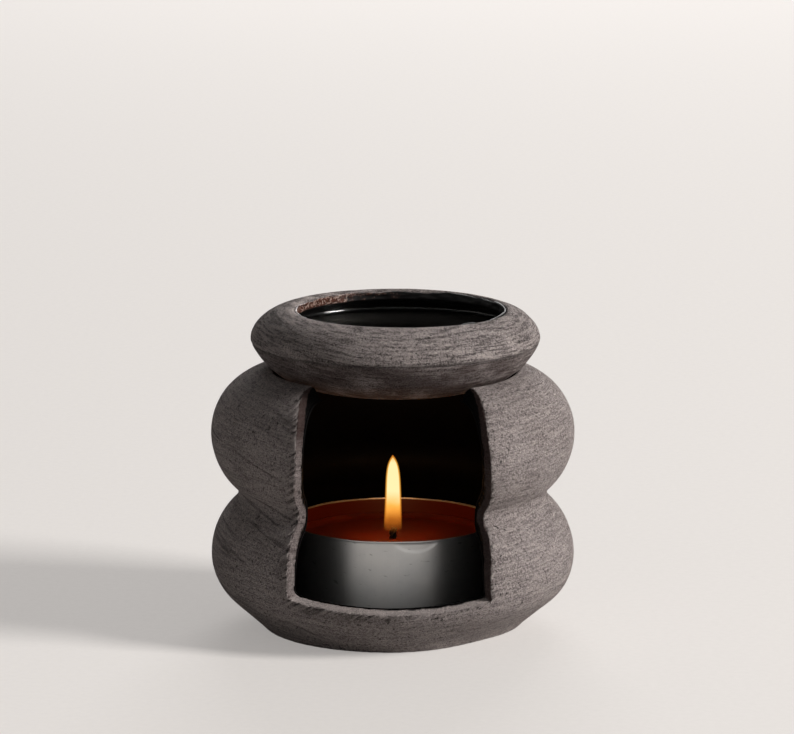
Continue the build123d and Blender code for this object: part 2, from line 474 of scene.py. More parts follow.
# Raw clay. Its brush marks lean one way on the left and another way on the right.
def clayFinish(name, look):
    finish, tree, shader = newFinish(name)
    place = objectPlace(tree)
    onLeft = spread(tree, alongAxis(tree, place, "X"), 0.006, -0.018)
    patches = noise(tree, place, clayLook["patchScale"], 3, 0.6)
    dots = noise(tree, place, clayLook["holeScale"], 2, 0.55)
    grain = noise(tree, place, clayLook["grainScale"], 4, 0.7)
    sand = noise(tree, place, clayLook["sandScale"], 3, 0.7)
    fineRight = brushNoise(tree, place, clayLook["fineRight"], look["leanRight"], 3, 0.62)
    fineLeft = brushNoise(tree, place, clayLook["fineLeft"], look["leanLeft"], 3, 0.62)
    fine = mixValues(tree, onLeft, fineRight, fineLeft)
    broad = brushNoise(tree, place, clayLook["broad"], look["leanRight"], 3, 0.6)
    scored = brushNoise(tree, place, clayLook["scores"], look["scored"], 2, 0.5)
    scores = times(tree, spread(tree, scored, 0.62, 0.7), onLeft)
    slanted = brushNoise(tree, place, clayLook["slanted"], clayLook["slant"], 3, 0.6)
    edgeNear = painted(tree, "edgeNear")
    holes = spread(tree, math(tree, "ADD", dots, times(tree, edgeNear, 0.06)), 0.645, 0.7)
    tornSide = times(tree, edgeNear, spread(tree, onLeft, 0.0, 1.0, 0.25, 1.0))
    torn = times(tree, spread(tree, slanted, 0.54, 0.42, 0.0, 0.7), tornSide)
    glazed = painted(tree, "glazed")
    tone = mixColours(tree, spread(tree, patches, 0.36, 0.64), clayLook["dark"], clayLook["pale"])
    for share, over in (
        (spread(tree, broad, 0.48, 0.34, 0.0, 0.22), "stroke"),
        (spread(tree, fine, 0.51, 0.42, 0.0, 0.8 * look["brushed"]), "stroke"),
        (spread(tree, fine, 0.53, 0.62, 0.0, 0.8 * look["brushed"]), "cut"),
        (spread(tree, grain, 0.48, 0.38, 0.0, 0.6), "cut"),
        (spread(tree, grain, 0.53, 0.63, 0.0, 0.6), "stroke"),
        (spread(tree, sand, 0.51, 0.59, 0.0, 0.5), "stroke"),
        (spread(tree, sand, 0.49, 0.41, 0.0, 0.5), "cut"),
        (times(tree, holes, 0.8), "pit"),
        (times(tree, scores, 0.5), "stroke"),
        (torn, "pit"),
        # painted shade on the jambs and under the dish; wear, with a painted highlight on the sill; pits,
        # notches and, as painted shade, the dish's crease line
        (times(tree, painted(tree, "paintedShade"), 0.9), "paintedShade"),
        (times(tree, painted(tree, "wearAndPaintedLight"), 0.6), "cut"),
        (times(tree, painted(tree, "hollow"), 0.85), "pit"),
        (glazed, "glaze"),
    ):
        tone = mixColours(tree, share, tone, clayLook[over])
    matt = spread(tree, fine, 0.3, 0.7, 0.82, 0.98)
    satin = spread(tree, grain, 0.3, 0.7, 0.6, 0.8)
    link(tree, spread(tree, glazed, 0.0, 1.0, 0.2, 0.05), shader.inputs["Specular IOR Level"])
    furrows = math(tree, "SUBTRACT", times(tree, fine, 1.2 * look["brushed"]), times(tree, torn, 0.35))
    sunk = times(tree, math(tree, "ADD", holes, scores), 0.5)
    relief = bump(tree, broad, 0.5, 0.0014)
    relief = bump(tree, furrows, 1.0, 0.0022, relief)
    relief = bump(tree, math(tree, "ADD", grain, sunk), 1.0, -0.0014, relief)
    relief = bump(tree, sand, 1.0, 0.0005, relief)
    dress(tree, shader, tone, mixValues(tree, glazed, matt, satin), relief)
    return finish


# Body of raw clay: brushed, pitted, with a torn edge round the doorway
bodyLook = {
    "grid": 0.46 * mm,
    "wall": 4.0 * mm,
    "wobble": 0.2 * mm,
    "wobbleSize": (0.030, 0.030, 0.018),
    "brush": 0.06 * mm,
    "strokeLeft": 0.0030,
    "strokeRight": 0.0024,
    "leanLeft": 0.12,
    "leanRight": -0.1,
    "scored": 0.42,
    "brushed": 0.5,
    "poreDepth": 0.35 * mm,
    "poreSpacing": 5.0 * mm,
    "poreSizes": (0.35 * mm, 0.9 * mm),
    "poreShare": 0.2,
    "seeds": (11, 15, 5, 3),  # strokes on the left and on the right, wobble, pores
    "fineReach": 2.4 * mm,
    "teethSize": (0.0007, 0.0012, 0.0030),
    "chipSize": (0.0016, 0.0016, 0.0016),
    "tear": 0.9 * mm,
    "tearReach": 0.75 * mm,
    "drag": 0.3 * mm,
    "dragReach": 2.4 * mm,
    "fringe": 1.5 * mm,
    "trimRadius": 44.0 * mm,
    "trimHeight": 8.3 * mm,
    "trimSoftness": 2.6 * mm,
    "footPull": 3.2 * mm,
    "footPullAngle": 45,
    "footPullWidth": 28,
}


# Height of the strokes that a brush leaves when it runs round the pot at a lean
def strokesAlong(points, centreX, lean, width, seed):
    x = points[:, 0] - centreX
    radius = np.maximum(np.hypot(x, points[:, 1]), 1e-6)
    up = points[:, 2] + lean * points[:, 0]
    line = np.column_stack([0.05 * x / radius, 0.05 * points[:, 1] / radius, up])
    return roughLumps(line, (0.012, 0.012, width), seed, 3)


# How far hand, brush and pores press the clay in, where the pores are, and what is on the left
def handMarks(points, look, centreX):
    left, right, swell, holes = look["seeds"]
    onLeft = smoothStep(-points[:, 0], -6 * mm, 12 * mm)
    strokes = onLeft * strokesAlong(points, centreX, look["leanLeft"], look["strokeLeft"], left)
    strokes += (1 - onLeft) * strokesAlong(points, centreX, look["leanRight"], look["strokeRight"], right)
    pits = pores(points, look["poreSpacing"], look["poreSizes"], look["poreShare"], holes)
    move = -look["wobble"] * oneSided(roughLumps(points, look["wobbleSize"], swell, 2))
    move -= look["brush"] * oneSided(strokes, 1.4) + look["poreDepth"] * pits
    return move, pits, onLeft


def makeClayBody():
    look = bodyLook
    cad, sharp = weldedCopy("stove_body")
    mesh = evenMesh(cad, "clayBody", look["grid"])
    # the outer profile, read off the back half in bands of height
    band = 0.0005
    bands = np.arange(0, 0.0705, band)
    points = readPoints(mesh)
    back = points[:, 1] > 0
    which = np.clip(np.digitize(points[back, 2], bands) - 1, 0, len(bands) - 1)
    outline = np.zeros(len(bands))
    np.maximum.at(outline, which, np.hypot(points[back, 0], points[back, 1]))
    bands += band / 2
    # the doorway's outer edge, where the clay is torn and needs finer faces
    atSkin = radiusOf(sharp) > np.interp(sharp[:, 2], bands, outline) - 1.2 * mm
    atDoor = (sharp[:, 1] < -0.015) & (sharp[:, 2] > 0.010) & (sharp[:, 2] < 0.069)
    doorEdge = sharp[atDoor & atSkin]
    refine(mesh, doorEdge, look["fineReach"])
    points = readPoints(mesh)
    normals = readPoints(mesh, "normal")
    radius = radiusOf(points)
    height = points[:, 2]
    depth = np.interp(height, bands, outline) - radius  # how far in from the outer skin
    toDoor = distanceTo(points, doorEdge)
    inside = (depth > look["wall"] - 1.1 * mm) & (height > 3.4 * mm) & (height < 66.5 * mm)
    move, pits, onLeft = handMarks(points, look, 0)
    move *= smoothStep(height, 0.2 * mm, 2.0 * mm)  # the foot stays flat on the table
    # torn clay along the doorway, rougher on its left
    rougher = 0.35 + 0.65 * onLeft
    along = np.column_stack([height - 0.7 * points[:, 0], toDoor * 0.2, points[:, 0] * 0.1])
    teeth = roughLumps(along, look["teethSize"], 21, 2)
    chips = roughLumps(points, look["chipSize"], 31, 3)
    turning = normals[:, 0] * points[:, 1] - normals[:, 1] * points[:, 0]
    sideways = np.abs(turning / np.maximum(radius, 1e-6))
    level = smoothStep(normals[:, 2], 0.5, 0.8) * (height > 11 * mm) * (height < 16.5 * mm)
    upright = smoothStep(sideways, 0.4, 0.7) * (height > 11 * mm) * (points[:, 1] < 0)
    onSill = level * smoothStep(depth, 0.3 * mm, 0.6 * mm)
    onJamb = upright * smoothStep(depth, 0.2 * mm, 0.5 * mm)
    onCut = np.maximum(onSill, onJamb) > 0.5
    tear = bell(toDoor, look["tearReach"] * np.where(onCut, 0.5, 1.0)) * (depth < 1.6 * mm)
    drag = np.exp(-toDoor / look["dragReach"]) * (depth < 0.9 * mm)
    move -= look["tear"] * tear * np.clip(0.2 + 1.1 * teeth * rougher + 0.4 * chips, 0, 1.3)
    move -= look["drag"] * drag * np.clip(0.3 + 1.5 * teeth, 0, 1.4) * rougher
    move[inside] = 0
    points = points + normals * move[:, None]
    # the turned edge above the foot is wiped soft
    toTrim = np.hypot(radius - look["trimRadius"], height - look["trimHeight"])
    points = sponge(mesh, points, bell(toTrim, look["trimSoftness"]) * (toTrim < 5 * mm), 40)
    # the foot was trimmed further in at the front right, but not the wall of the chamber
    angle = np.degrees(np.arctan2(points[:, 0], -points[:, 1]))
    radius = radiusOf(points)
    pull = look["footPull"] * bell(angle - look["footPullAngle"], look["footPullWidth"])
    pull *= smoothStep(radius, 20 * mm, 34 * mm) * (1 - smoothStep(points[:, 2], 0, 13 * mm))
    pull *= 1 - smoothStep(depth, 1.0 * mm, 3.2 * mm) * smoothStep(height, 2.0 * mm, 3.4 * mm)
    points[:, :2] *= (1 - pull / np.maximum(radius, 1e-6))[:, None]
    writePoints(mesh, points)
    # pale crumbs and dark notches beside the torn edge, and painted shade on the jambs, darker on the right
    # jamb and towards the top under the dish
    fringe = np.exp(-toDoor / look["fringe"]) * (1 - onJamb) * (depth < 0.9 * mm)
    crumbs = fringe * smoothStep(-teeth, 0.0, 0.3) * rougher
    notches = fringe * smoothStep(teeth, 0.0, 0.3) * (0.3 + 0.7 * onLeft)
    wearAndPaintedLight = np.maximum(crumbs, tear * np.clip(0.1 + chips, 0, 0.8))
    towardsTop = smoothStep(height, 50 * mm, 64 * mm)
    # the wear beside the torn edge, and the sill's top painted paler: a painted highlight where light falls
    # on it
    writeShare(mesh, "wearAndPaintedLight", np.maximum(0.6 * onSill, wearAndPaintedLight))
    writeShare(mesh, "hollow", np.maximum(0.9 * pits, notches))
    writeShare(mesh, "edgeNear", drag * np.clip(1.1 + 0.5 * chips, 0, 1))
    # painted shade on the jambs, stronger on the right and under the dish
    writeShare(mesh, "paintedShade", onJamb * np.clip(0.5 + 0.45 * (1 - onLeft) + 0.6 * towardsTop, 0, 1))
    # black glaze laps round the inner edge of the doorway and over the neck
    lapFrom = look["wall"] - (0.3 + 0.5 * (1 - onLeft)) * mm - 0.3 * mm * chips
    lapped = smoothStep(depth, lapFrom - 0.2 * mm, lapFrom + 0.15 * mm) * np.maximum(onJamb, onSill)
    neck = smoothStep(height, 64.5 * mm, 65.5 * mm) * (height < 69.3 * mm)
    neck *= 1 - smoothStep(radius, 33.2 * mm, 33.8 * mm)
    writeShare(mesh, "glazed", np.maximum(lapped, neck))
    piece = newPiece("clayBody", mesh, clayFinish("bodyClay", look), "stove")
    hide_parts("stove_body")
    print("clay body:", len(mesh.polygons), "faces")


makeClayBody()

# Dish of the same clay: brushed askew, with a crease round its middle and a sponged lip
dishLook = {
    "grid": 0.42 * mm,
    "wobble": 0.18 * mm,
    "wobbleSize": (0.030, 0.030, 0.012),
    "brush": 0.08 * mm,
    "strokeLeft": 0.0022,
    "strokeRight": 0.0020,
    "leanLeft": 0.12,
    "leanRight": -0.02,
    "scored": 0.2,
    "brushed": 1.0,
    "poreDepth": 0.3 * mm,
    "poreSpacing": 6.0 * mm,
    "poreSizes": (0.3 * mm, 0.7 * mm),
    "poreShare": 0.14,
    "seeds": (41, 45, 51, 13),
    "creaseLine": 0.2 * mm,
    "lipRounding": 26,
    "axisX": 0.7 * mm,
    "bowlX": 2.1 * mm,
    "creaseRadius": 38.8 * mm,
    "creaseHeight": 77.6 * mm,
    "lipRadius": 28.1 * mm,
    "rimHeight": 86.4 * mm,
}


def makeClayDish():
    look = dishLook
    cad, _ = weldedCopy("oil_dish")
    mesh = evenMesh(cad, "clayDish", look["grid"])
    points = readPoints(mesh)
    radius = radiusOf(points, look["axisX"])
    fromMouth = radiusOf(points, look["bowlX"])
    height = points[:, 2]
    hollow = (fromMouth < 34.2 * mm) & (radius < look["creaseRadius"] - 3.5 * mm)
    hollow &= (height > 70.3 * mm) & (height < 84.8 * mm)
    # the lip and the crease are wiped with a sponge
    toLip = np.hypot(fromMouth - look["lipRadius"], height - look["rimHeight"])
    soft = 1 - smoothStep(toLip, 0.7 * mm, 2.2 * mm)
    points = sponge(mesh, points, soft * ~hollow, look["lipRounding"])
    toCrease = np.hypot(radius - look["creaseRadius"], height - look["creaseHeight"])
    points = sponge(mesh, points, bell(toCrease, 0.9 * mm) * (toCrease < 2 * mm), 5)
    writePoints(mesh, points)
    normals = readPoints(mesh, "normal")
    move, pits, _ = handMarks(points, look, look["axisX"])
    crease = bell(height - (look["creaseHeight"] - 0.5 * mm), 0.35 * mm)
    crease *= radius > look["creaseRadius"] - 1.6 * mm
    move -= look["creaseLine"] * crease * np.clip(0.8 + 0.6 * lumps(points, (0.004,) * 3, 61), 0, 1.4)
    move[hollow] = 0
    points = points + normals * move[:, None]
    writePoints(mesh, points)
    # painted shade under the crease, warmed red as by the candle's light, strongest at the front by the
    # doorway
    under = (1 - 0.15 * smoothStep(height, 66 * mm, 76 * mm)) * (1 - smoothStep(height, 76.4 * mm, 77.3 * mm))
    under *= 0.4 + 0.6 * smoothStep(-points[:, 1], 0.0, 0.03)
    cloudy = np.clip(0.85 + 0.5 * roughLumps(points, (0.007,) * 3, 71, 3), 0, 1)
    rubbed = np.clip(0.4 + lumps(points, (0.003,) * 3, 81), 0, 1)
    writeShare(mesh, "paintedShade", 0.9 * under * cloudy)
    writeShare(mesh, "wearAndPaintedLight", 0.5 * bell(toLip, 1.2 * mm) * rubbed)
    # the pores, and a dark line along the crease: painted shade in the crease
    writeShare(mesh, "hollow", np.maximum(pits, 0.8 * crease))
    writeShare(mesh, "edgeNear", 0 * height)
    writeShare(mesh, "glazed", 0 * height)
    piece = newPiece("clayDish", mesh, clayFinish("dishClay", look), "dish")
    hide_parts("oil_dish")
    print("clay dish:", len(mesh.polygons), "faces")


makeClayDish()

# Black glaze, breaking to red-brown where it runs thin, with painted whitish glints on the thin lip
glazeLook = {
    "black": colour(6, 6, 6),
    "pool": colour(12, 9, 9),
    "thin": colour(76, 47, 38),
    "thinner": colour(40, 25, 21),
    "paintedGlint": colour(150, 128, 118),
    "poolScale": 160,
    "crackleScale": 900,
    "glintScale": 1700,
}


def glazeFinish(name, breaks):
    finish, tree, shader = newFinish(name)
    place = objectPlace(tree)
    pool = noise(tree, place, glazeLook["poolScale"], 4, 0.6)
    crackle = noise(tree, place, glazeLook["crackleScale"], 4, 0.65)
    tone = mixColours(tree, spread(tree, pool, 0.4, 0.75), glazeLook["black"], glazeLook["pool"])
    if breaks:
        raggedness = times(tree, math(tree, "SUBTRACT", crackle, 0.5), 0.9)
        where = spread(tree, math(tree, "ADD", painted(tree, "thin"), raggedness), 0.42, 0.62)
        # painted glints: whitish specks that stand in for gloss highlights on the lip
        paintedGlints = spread(tree, noise(tree, place, glazeLook["glintScale"], 2, 0.5), 0.53, 0.6, 0.0, 0.85)
        thin = mixColours(tree, spread(tree, crackle, 0.42, 0.62), glazeLook["thin"], glazeLook["thinner"])
        tone = mixColours(tree, where, tone, mixColours(tree, paintedGlints, thin, glazeLook["paintedGlint"]))
        gloss = spread(tree, where, 0.0, 1.0, 0.45, 0.22)
        shader.inputs["Specular IOR Level"].default_value = 0.2
    else:
        gloss = spread(tree, pool, 0.3, 0.7, 0.5, 0.68)
        shader.inputs["Specular IOR Level"].default_value = 0.04
    relief = bump(tree, pool, 0.25, 0.0008)
    relief = bump(tree, crackle, 0.3 if breaks else 0.15, 0.0002, relief)
    dress(tree, shader, tone, gloss, relief)
    return finish


# The glaze in the chamber keeps its CAD shape.
nodes["chamber_glaze"].data.materials.clear()
nodes["chamber_glaze"].data.materials.append(glazeFinish("chamberGlaze", False))

bowlLook = {
    "mouthRadius": 27.7 * mm,
    "lipHeight": 83.4 * mm,
    "wideRadius": 33.3 * mm,
    "wideHeight": 78.3 * mm,
    "floorRadius": 19.0 * mm,
    "floorHeight": 70.2 * mm,
    "thickness": 0.42 * mm,
    "upperBow": 0.9 * mm,
    "lowerBow": 2.0 * mm,
    "runs": 0.16 * mm,
    "unevenTop": 0.7 * mm,
    "belowRim": 0.35 * mm,
}


# The wall of the dish's hollow from its floor up to its mouth, moved out by extra
def bowlProfile(extra):
    look = bowlLook
    floorEdge = (look["floorRadius"], look["floorHeight"])
    widest = (look["wideRadius"], look["wideHeight"])
    mouth = (look["mouthRadius"], look["lipHeight"])
    low = bowedLine(floorEdge, widest, look["lowerBow"], 16)
    high = bowedLine(widest, mouth, look["upperBow"], 12)
    lip = [(look["mouthRadius"], look["lipHeight"] + k * 0.4 * mm) for k in range(1, 8)]
    line = np.array(low + high[1:] + lip)
    step = np.gradient(line, axis=0)
    out = np.column_stack([step[:, 1], -step[:, 0]])
    out /= np.linalg.norm(out, axis=1)[:, None]
    return line + out * extra


def makeDishGlaze():
    look = bowlLook
    wall = [tuple(p) for p in bowlProfile(0)]
    backing = [tuple(p) for p in bowlProfile(look["thickness"])]
    lower = look["floorHeight"] - look["thickness"]
    floor = spaced((0, look["floorHeight"]), (look["floorRadius"], look["floorHeight"]), 12)
    under = spaced((0, lower), (look["floorRadius"], lower), 12)
    profile = floor + wall + backing[::-1] + under[::-1]
    mesh = turnedMesh("dishGlaze", profile[::-1], 360, dishLook["bowlX"])
    points = readPoints(mesh)
    offset = points - np.array([dishLook["bowlX"], 0, 0])
    radius = radiusOf(offset)
    # it runs at the lip and ends a little below the rim, unevenly
    onLip = smoothStep(points[:, 2], look["lipHeight"] - 1.2 * mm, look["lipHeight"] + 0.4 * mm)
    runs = roughLumps(points, (0.0028, 0.0028, 0.0020), 91, 3)
    grow = look["runs"] * onLip * np.clip(runs, -1, 1.2) * (radius < look["mouthRadius"] + 0.2 * mm)
    points[:, :2] -= offset[:, :2] * (grow / np.maximum(radius, 1e-6))[:, None]
    edge = oneSided(roughLumps(offset * np.array([1, 1, 0]), (0.006, 0.006, 1), 95, 3))
    atTop = smoothStep(points[:, 2], look["lipHeight"] + 0.5 * mm, look["lipHeight"] + 2.8 * mm)
    points[:, 2] -= (look["belowRim"] + look["unevenTop"] * edge) * atTop
    writePoints(mesh, points)
    angle = np.degrees(np.arctan2(offset[:, 1], -offset[:, 0]))  # 0 is the left, 90 the back
    brown = bell(angle - 20, 50) + 0.25 * bell(angle - 95, 40)
    writeShare(mesh, "thin", onLip * np.clip(brown * (0.85 + 0.3 * runs), 0, 1))
    piece = newPiece("dishGlaze", mesh, glazeFinish("bowlGlaze", True), "dish")
    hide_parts("dish_glaze")
    print("glaze in the dish:", len(mesh.polygons), "faces")


makeDishGlaze()

# Water with oil on it. It climbs a little up the wall.
liquidLook = {
    "level": 79.5 * mm,
    "climb": 1.2 * mm,
    "climbReach": 1.0 * mm,
    "intoGlaze": 0.1 * mm,
    "tint": colour(250, 244, 232),
    "paler": colour(255, 252, 246),
    "filmScale": 120,
    "dropScale": 420,
}


def liquidFinish():
    finish, tree, shader = newFinish("waterAndOil")
    place = objectPlace(tree)
    film = noise(tree, place, liquidLook["filmScale"], 3, 0.5)
    drops = spread(tree, noise(tree, place, liquidLook["dropScale"], 3, 0.5), 0.55, 0.75, 0.0, 0.05)
    climb = painted(tree, "climb")
    tone = mixColours(tree, spread(tree, film, 0.4, 0.6), liquidLook["tint"], liquidLook["paler"])
    haze = math(tree, "ADD", drops, times(tree, climb, 0.14))
    dress(tree, shader, tone, haze, bump(tree, film, 0.05, 0.0006))
    shader.inputs["Transmission Weight"].default_value = 1.0
    shader.inputs["IOR"].default_value = 1.36
    link(tree, spread(tree, climb, 0.0, 1.0, 0.2, 0.9), shader.inputs["Specular IOR Level"])
    return finish


def makeLiquid():
    look = liquidLook
    side = bowlProfile(look["intoGlaze"])
    wall = [tuple(p) for p in side if p[1] < look["level"] - 0.2 * mm]
    upper = side[(side[:, 1] > 78.3 * mm) & (side[:, 1] < 83 * mm)]
    topRadius = float(np.interp(look["level"] + look["climb"], upper[:, 1], upper[:, 0]))
    climbing = []
    for k in range(14):
        t = k / 13
        climbing.append((topRadius - look["climbReach"] * t, look["level"] + look["climb"] * (1 - t) ** 2.6))
    flatRadius = climbing[-1][0]
    surface = [(flatRadius * (1 - k / 24), look["level"]) for k in range(1, 24)] + [(0.0, look["level"])]
    foot = bowlLook["floorHeight"] - look["intoGlaze"]
    floor = spaced((0, foot), (bowlLook["floorRadius"], foot), 6)
    mesh = turnedMesh("waterAndOil", floor + wall + climbing + surface, 256, dishLook["bowlX"])
    points = readPoints(mesh)
    radius = radiusOf(points, dishLook["bowlX"])
    onTop = points[:, 2] > look["level"] - 0.01 * mm
    writeShare(mesh, "climb", smoothStep(radius, flatRadius, flatRadius + 0.5 * mm) * onTop)
    piece = newPiece("waterAndOil", mesh, liquidFinish(), "dish")
    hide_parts("oil_and_water")
    print("water and oil:", len(mesh.polygons), "faces")


makeLiquid()

# Tealight cup of thin drawn aluminium, a little knocked about, with a film of wax inside
cupLook = {
    "wallRadius": 27.6 * mm,
    "wall": 0.4 * mm,
    "foot": 4.0 * mm,
    "beadHeight": 28.2 * mm,
    "bead": 0.22 * mm,
    "corner": 2.0 * mm,
    "waves": 0.08 * mm,
    "rimWaves": 0.12 * mm,
    "dentAngle": 13.0,
    "dentWidth": 13.0,
    "dentDepth": 0.28 * mm,
    "dentTop": 27.6 * mm,
    "dentBottom": 25.2 * mm,
    "metal": colour(194, 192, 189),
    "dull": colour(182, 181, 180),
    "scuff": colour(120, 117, 116),
    "film": colour(66, 18, 6),
    "cloudScale": 90,
    "drawMarks": (90.0, 60),
    "scuffMarks": (10.0, 1200),
}


def cupFinish():
    finish, tree, shader = newFinish("cupAluminium")
    place = objectPlace(tree)
    drawn = brushNoise(tree, place, cupLook["drawMarks"], 0.0, 4, 0.6)
    cloud = noise(tree, place, cupLook["cloudScale"], 4, 0.6)
    scuffs = spread(tree, brushNoise(tree, place, cupLook["scuffMarks"], 0.15, 3, 0.5), 0.66, 0.72)
    film = painted(tree, "film")
    tone = mixColours(tree, spread(tree, cloud, 0.35, 0.65), cupLook["metal"], cupLook["dull"])
    tone = mixColours(tree, times(tree, scuffs, 0.45), tone, cupLook["scuff"])
    tone = mixColours(tree, film, tone, cupLook["film"])
    relief = bump(tree, scuffs, 0.2, -0.0002, bump(tree, drawn, 0.08, 0.0004))
    dress(tree, shader, tone, spread(tree, cloud, 0.3, 0.7, 0.42, 0.5), relief)
    link(tree, spread(tree, film, 0.0, 1.0, 0.9, 0.0), shader.inputs["Metallic"])
    link(tree, spread(tree, film, 0.0, 1.0, 0.5, 0.12), shader.inputs["Specular IOR Level"])
    # the draw marks stretch the sheen up and down
    around = tree.nodes.new("ShaderNodeTangent")
    around.direction_type = "RADIAL"
    around.axis = "Z"
    link(tree, around.outputs["Tangent"], shader.inputs["Tangent"])
    shader.inputs["Anisotropic"].default_value = 0.6
    shader.inputs["Anisotropic Rotation"].default_value = 0.25
    return finish


def makeCup():
    look = cupLook
    outer, inner = look["wallRadius"], look["wallRadius"] - look["wall"]
    foot, corner, bead = look["foot"], look["corner"], look["beadHeight"]
    cornerAt = (outer - corner, foot + corner)
    floor = foot + look["wall"]
    profile = spaced((0, foot), (outer - corner, foot), 10)
    profile += arcPoints(cornerAt, corner, -90, 0, 9)
    profile += spaced((outer, foot + corner + 0.3 * mm), (outer, bead - 0.3 * mm), 64)
    profile += arcPoints((outer - 0.15 * mm, bead), look["bead"], -50, 200, 12)
    profile += spaced((inner, bead - 0.3 * mm), (inner, foot + corner), 20)
    profile += arcPoints(cornerAt, corner - look["wall"], 0, -90, 7)
    profile += spaced((outer - corner - 0.3 * mm, floor), (0, floor), 10) + [(0, floor)]
    mesh = turnedMesh("candleCup", profile, 420)
    points = readPoints(mesh)
    radius = radiusOf(points)
    height = points[:, 2]
    wall = smoothStep(radius, inner - 1.5 * mm, inner - 0.2 * mm) * smoothStep(height, 6 * mm, 9 * mm)
    waves = lumps(points, (0.012, 0.012, 0.02), 101) + 0.5 * lumps(points, (0.004, 0.004, 0.010), 102)
    move = -look["waves"] * oneSided(waves) * wall
    # a shallow dent under the rim, right of the front
    angle = np.degrees(np.arctan2(points[:, 0], -points[:, 1]))
    across = (angle - look["dentAngle"]) / look["dentWidth"]
    below = look["dentBottom"] + (look["dentTop"] - look["dentBottom"]) * across ** 2
    lens = smoothStep(height, below, below + 0.5 * mm) * (np.abs(across) < 1)
    lens *= 1 - smoothStep(height, look["dentTop"] + 0.1 * mm, look["dentTop"] + 0.5 * mm)
    move -= look["dentDepth"] * lens * wall * np.clip(1.25 * (1 - across ** 2), 0, 1)
    points[:, :2] *= ((radius + move) / np.maximum(radius, 1e-6))[:, None]
    rim = oneSided(roughLumps(points * np.array([1, 1, 0]), (0.009, 0.009, 1), 105, 2))
    points[:, 2] -= look["rimWaves"] * smoothStep(height, 26 * mm, 28 * mm) * rim
    writePoints(mesh, points)
    belowRim = 1 - smoothStep(height, 27.9 * mm, 28.2 * mm)
    writeShare(mesh, "film", (radius < inner + 0.1 * mm) * belowRim)
    piece = newPiece("candleCup", mesh, cupFinish(), "candle")
    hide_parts("candle_cup")
    print("tealight cup:", len(mesh.polygons), "faces")


makeCup()

# Wax: molten and dark amber, drawn up a little at the wall and at the wick
waxLook = {
    "radius": 26.98 * mm,
    "level": 22.9 * mm,
    "foot": 4.42 * mm,
    "corner": 1.58 * mm,
    "wallRise": 1.4 * mm,
    "wallReach": 2.2 * mm,
    "wickRise": 0.5 * mm,
    "wickReach": 2.6 * mm,
    "ripple": 0.07 * mm,
    "deep": colour(62, 16, 5),
    "shallow": colour(82, 25, 7),
    "cloudScale": 70,
    "wispMarks": (3.0, 200),
}


def waxFinish():
    finish, tree, shader = newFinish("wax")
    place = objectPlace(tree)
    cloud = noise(tree, place, waxLook["cloudScale"], 4, 0.6)
    wisps = brushNoise(tree, place, waxLook["wispMarks"], 0.0, 3, 0.6)
    tone = mixColours(tree, spread(tree, cloud, 0.35, 0.68), waxLook["deep"], waxLook["shallow"])
    tone = mixColours(tree, times(tree, painted(tree, "edge"), 0.4), tone, waxLook["shallow"])
    relief = bump(tree, wisps, 0.03, 0.0005, bump(tree, cloud, 0.04, 0.001))
    dress(tree, shader, tone, spread(tree, cloud, 0.3, 0.7, 0.3, 0.42), relief)
    shader.inputs["Subsurface Weight"].default_value = 0.35
    shader.inputs["Subsurface Radius"].default_value = (0.004, 0.0014, 0.0005)
    shader.inputs["Subsurface Scale"].default_value = 1.0
    shader.inputs["Coat Weight"].default_value = 0.05
    shader.inputs["Coat Roughness"].default_value = 0.1
    return finish


def makeWax():
    look = waxLook
    level, foot = look["level"], look["foot"]
    cornerRadius = look["radius"] - look["corner"]
    atWall, atWick = look["radius"] - look["wallReach"], look["wickReach"]
    profile = [(0, foot), (20 * mm, foot), (cornerRadius, foot)]
    profile += arcPoints((cornerRadius, foot + look["corner"]), look["corner"], -70, 0, 5)
    profile += spaced((look["radius"], 8 * mm), (look["radius"], level - 1 * mm), 6)
    for k in range(16):
        t = k / 15
        profile.append((look["radius"] - look["wallReach"] * t, level + look["wallRise"] * (1 - t) ** 2.2))
    profile += [(atWall + (atWick - atWall) * k / 60, level) for k in range(1, 61)]
    for k in range(1, 8):
        t = k / 8
        profile.append((atWick * (1 - t), level + look["wickRise"] * t ** 2))
    profile.append((0, level + look["wickRise"]))
    mesh = turnedMesh("candleWax", profile, 240)
    points = readPoints(mesh)
    radius = radiusOf(points)
    top = smoothStep(points[:, 2], level - 0.4 * mm, level - 0.1 * mm)
    top *= 1 - smoothStep(radius, 25.5 * mm, 26.6 * mm)
    points[:, 2] += look["ripple"] * top * lumps(points, (0.011, 0.011, 0.1), 111)
    writePoints(mesh, points)
    writeShare(mesh, "edge", smoothStep(radius, 23 * mm, 26.8 * mm))
    piece = newPiece("candleWax", mesh, waxFinish(), "candle")
    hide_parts("candle_wax")
    print("wax:", len(mesh.polygons), "faces")


makeWax()

# Wick: three twisted strands, burnt black above the wax and leaning a little
wickLook = {
    "foot": 4.5 * mm,
    "top": 26.3 * mm,
    "strand": 0.54 * mm,
    "twist": 0.46 * mm,
    "turn": 5.5 * mm,
    "lean": 0.25 * mm,
    "taperFrom": 0.78,  # of the height above the wax
    "char": colour(22, 18, 16),
    "ash": colour(58, 48, 42),
    "fibreScale": 2600,
    "sootScale": 700,
}


def wickFinish():
    finish, tree, shader = newFinish("charredWick")
    place = objectPlace(tree)
    fibres = noise(tree, place, wickLook["fibreScale"], 4, 0.7)
    soot = spread(tree, noise(tree, place, wickLook["sootScale"], 3, 0.6), 0.5, 0.75)
    tone = mixColours(tree, soot, wickLook["char"], wickLook["ash"])
    dress(tree, shader, tone, spread(tree, fibres, 0.3, 0.7, 0.75, 0.95), bump(tree, fibres, 0.6, 0.0003))
    shader.inputs["Specular IOR Level"].default_value = 0.2
    return finish


